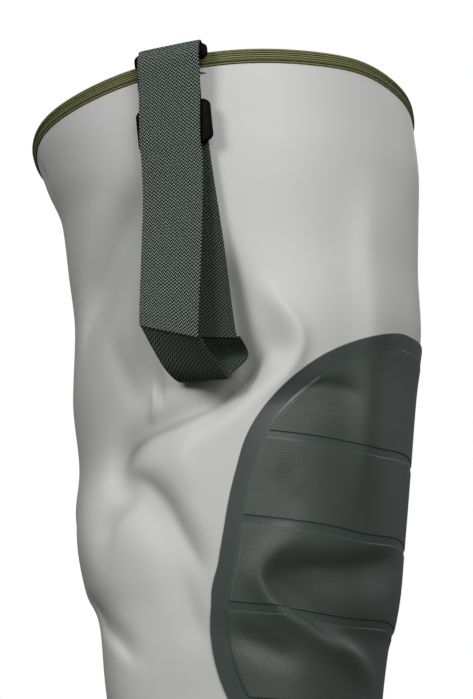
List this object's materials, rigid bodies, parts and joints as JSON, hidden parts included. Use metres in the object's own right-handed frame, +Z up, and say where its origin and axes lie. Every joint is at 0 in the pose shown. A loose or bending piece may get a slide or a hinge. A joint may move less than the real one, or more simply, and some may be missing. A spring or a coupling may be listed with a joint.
{
  "type": "hip wader",
  "caption": "Hip-high wader for the right leg: moulded boot with a welded coated-fabric leg, oval knee patch, bound slanted top edge and a webbing belt loop on the outer side.",
  "frame": {"origin": "on the floor under the middle of the whole part's box", "axes": "+Z up along the leg, +X towards the toe, -Y towards the outer side of the leg"},
  "size_m": [0.357, 0.2337, 0.849],
  "materials": {
    "grey_coated_fabric": "satin waterproof coating on woven fabric",
    "dark_green_sheet": "embossed coated sheet with a smooth border",
    "dark_green_moulding": "moulded, semi-matt",
    "black_tread": "matt moulded tread",
    "insole_felt": "felt",
    "olive_tape": "ribbed elastic binding tape",
    "green_webbing": "two-tone herringbone webbing",
    "black_plastic": "moulded, slightly glossy"
  },
  "bodies": {
    "root": {"outsole": "black_tread", "insole": "insole_felt", "boot_upper": "dark_green_moulding", "leg_shaft": "grey_coated_fabric", "knee_patch": "dark_green_sheet", "hem_binding": "olive_tape", "anchor_tab": "green_webbing", "strap_ring": "black_plastic", "strap_slider": "black_plastic", "strap_webbing": "green_webbing"}
  },
  "joints": []
}
